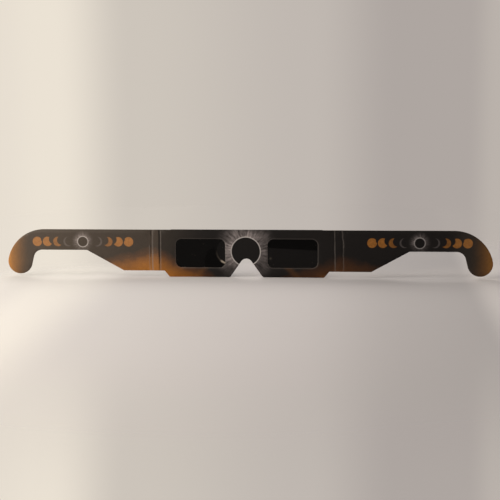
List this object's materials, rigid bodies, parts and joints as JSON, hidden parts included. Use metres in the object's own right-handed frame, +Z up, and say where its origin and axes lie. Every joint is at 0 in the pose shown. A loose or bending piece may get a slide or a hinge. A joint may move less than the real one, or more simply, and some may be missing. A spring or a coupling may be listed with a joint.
{
  "type": "eclipse glasses",
  "caption": "Paper eclipse glasses lying open: a folded front panel that holds dark filter films, with creased hinge strips and hooked temples.",
  "frame": {"origin": "top of the nose notch, midway through the thickness of the front panel: where the bridge meets the nose", "axes": "+X along the glasses, to the right as seen from the printed side (the wearer's left); +Y from the printed side towards the wearer's face; +Z up to the brow. Left and right in names are as seen from the printed side"},
  "size_m": [0.3496, 0.001, 0.0345],
  "materials": {
    "printed_board": "satin",
    "creased_board": "matte",
    "filter_film": "gloss",
    "glue": "matte"
  },
  "bodies": {
    "front": {"front_ply": "printed_board", "top_fold": "printed_board", "back_flap": "printed_board", "left_filter_film": "filter_film", "right_filter_film": "filter_film", "glue_top_line": "glue", "glue_bridge_pad": "glue", "glue_bottom_left": "glue", "glue_bottom_right": "glue", "glue_left_end": "glue", "glue_right_end": "glue", "left_inner_crease": "creased_board", "right_inner_crease": "creased_board"},
    "left_strip": {"left_hinge_strip": "printed_board", "left_outer_crease": "creased_board"},
    "left_temple": {"left_temple": "printed_board"},
    "right_strip": {"right_hinge_strip": "printed_board", "right_outer_crease": "creased_board"},
    "right_temple": {"right_temple": "printed_board"}
  },
  "joints": [
    {"name": "left_inner_fold", "type": "hinge", "parent": "front", "child": "left_strip", "pos_m": [-0.0632, -0.00005, 0.0058], "axis": [0, 0, -1], "range_deg": [0, 90]},
    {"name": "left_outer_fold", "type": "hinge", "parent": "left_strip", "child": "left_temple", "pos_m": [-0.0694, -0.00005, 0.0058], "axis": [0, 0, -1], "range_deg": [0, 85]},
    {"name": "right_inner_fold", "type": "hinge", "parent": "front", "child": "right_strip", "pos_m": [0.0632, -0.00005, 0.0058], "axis": [0, 0, 1], "range_deg": [0, 90]},
    {"name": "right_outer_fold", "type": "hinge", "parent": "right_strip", "child": "right_temple", "pos_m": [0.0694, -0.00005, 0.0058], "axis": [0, 0, 1], "range_deg": [0, 90]}
  ]
}
